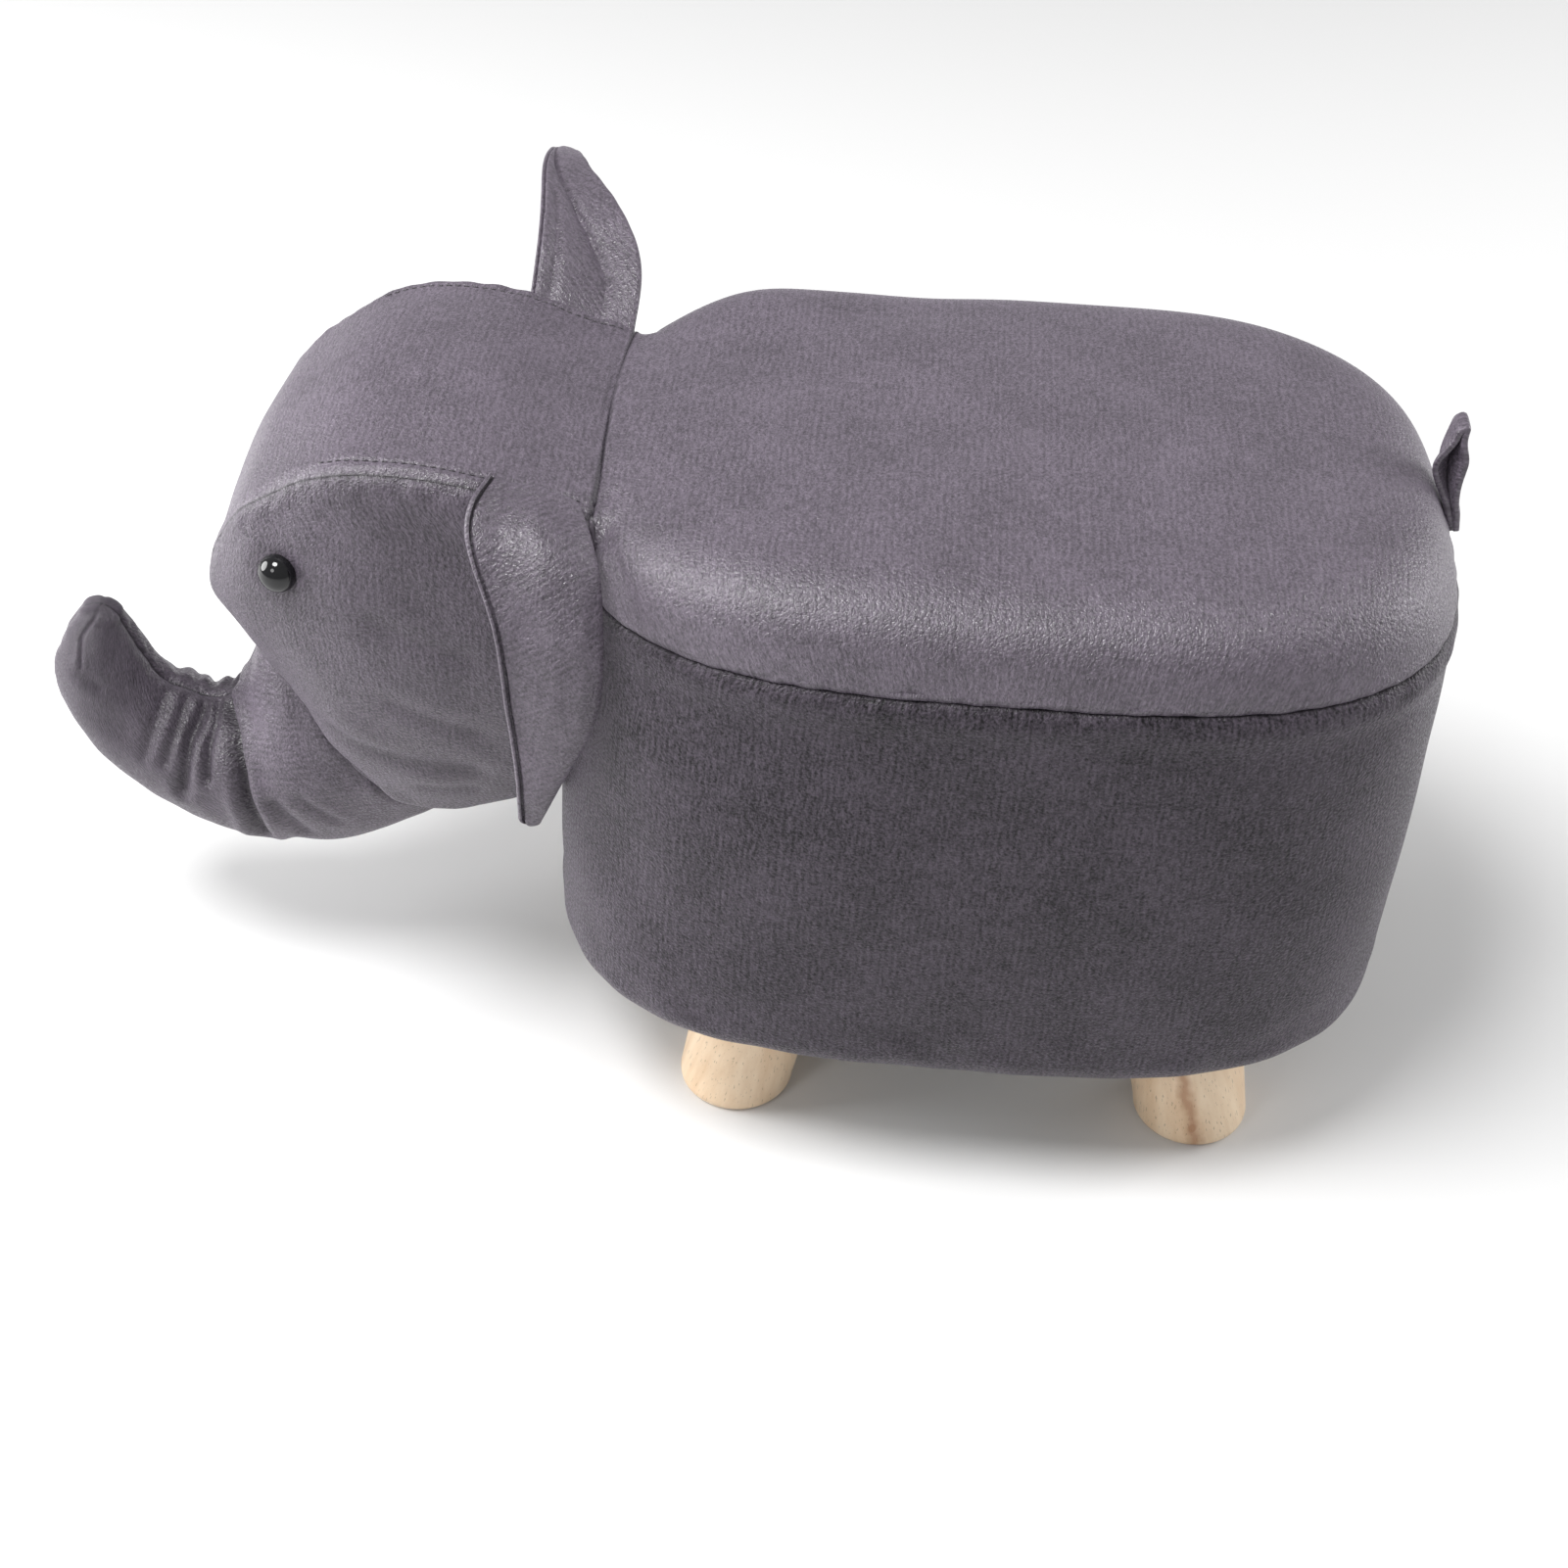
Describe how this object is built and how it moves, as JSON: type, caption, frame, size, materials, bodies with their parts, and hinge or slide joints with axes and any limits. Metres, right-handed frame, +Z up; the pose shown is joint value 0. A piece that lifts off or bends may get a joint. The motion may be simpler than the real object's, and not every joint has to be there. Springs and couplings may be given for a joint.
{
  "type": "upholstered elephant footstool",
  "caption": "Low stool shaped like an elephant, covered in grey cloth, with a stuffed head and trunk, floppy ears and short wooden legs.",
  "frame": {"origin": "on the floor, under the middle of the four legs", "axes": "+X towards the tail, the head looks along -X; +Y towards the elephant's right side; +Z up"},
  "size_m": [0.576, 0.3318, 0.3238],
  "materials": {
    "cloth": "short soft nap, fine ribbed knit",
    "foam": "open foam",
    "fibre": "loose fibre",
    "dust_cloth": "thin non-woven cloth",
    "leg_wood": "clear satin lacquer",
    "board": "raw plywood",
    "wall_board": "raw hardboard",
    "post": "raw pine",
    "steel": "zinc plated",
    "eye_black": "polished",
    "washer_white": "moulded"
  },
  "bodies": {
    "stool": {"base_board": "board", "seat_board": "board", "wall_board": "wall_board", "frame_post_front_left": "post", "frame_post_front_right": "post", "frame_post_rear_left": "post", "frame_post_rear_right": "post", "frame_screws": "steel", "hem_staples": "steel", "leg_bolt_front_left": "steel", "leg_bolt_front_right": "steel", "leg_bolt_rear_left": "steel", "leg_bolt_rear_right": "steel", "leg_washer_front_left": "steel", "leg_washer_front_right": "steel", "leg_washer_rear_left": "steel", "leg_washer_rear_right": "steel", "leg_nut_front_left": "steel", "leg_nut_front_right": "steel", "leg_nut_rear_left": "steel", "leg_nut_rear_right": "steel", "seat_foam": "foam", "side_foam_front": "foam", "side_foam_rear": "foam", "side_foam_left": "foam", "side_foam_right": "foam", "seat_cover": "cloth", "side_cover": "cloth", "forehead_panel": "cloth", "cheek_left": "cloth", "cheek_right": "cloth", "trunk_left": "cloth", "trunk_right": "cloth", "head_filling": "fibre", "trunk_filling": "fibre", "dust_cover": "dust_cloth", "leg_front_left": "leg_wood", "leg_front_right": "leg_wood", "leg_rear_left": "leg_wood", "leg_rear_right": "leg_wood", "eye_left": "eye_black", "eye_right": "eye_black", "eye_washer_left": "washer_white", "eye_washer_right": "washer_white"},
    "ear_left": {"ear_left_outer": "cloth", "ear_left_lining": "cloth"},
    "ear_right": {"ear_right_outer": "cloth", "ear_right_lining": "cloth"},
    "tail": {"tail_loop": "cloth"}
  },
  "joints": [
    {"name": "ear_left_flap", "type": "hinge", "parent": "stool", "child": "ear_left", "pos_m": [-0.17923, -0.07088, 0.29747], "axis": [-0.9632, 0, 0.2688], "range_deg": [-8, 75], "stiffness_Nm_per_rad": 0.06},
    {"name": "ear_right_flap", "type": "hinge", "parent": "stool", "child": "ear_right", "pos_m": [-0.17923, 0.07088, 0.29747], "axis": [0.9632, 0, -0.2688], "range_deg": [-50, 30], "stiffness_Nm_per_rad": 0.15},
    {"name": "tail_flap", "type": "hinge", "parent": "stool", "child": "tail", "pos_m": [0.171, 0.01, 0.2615], "axis": [0, 1, 0], "range_deg": [0, 75], "stiffness_Nm_per_rad": 0.05}
  ]
}
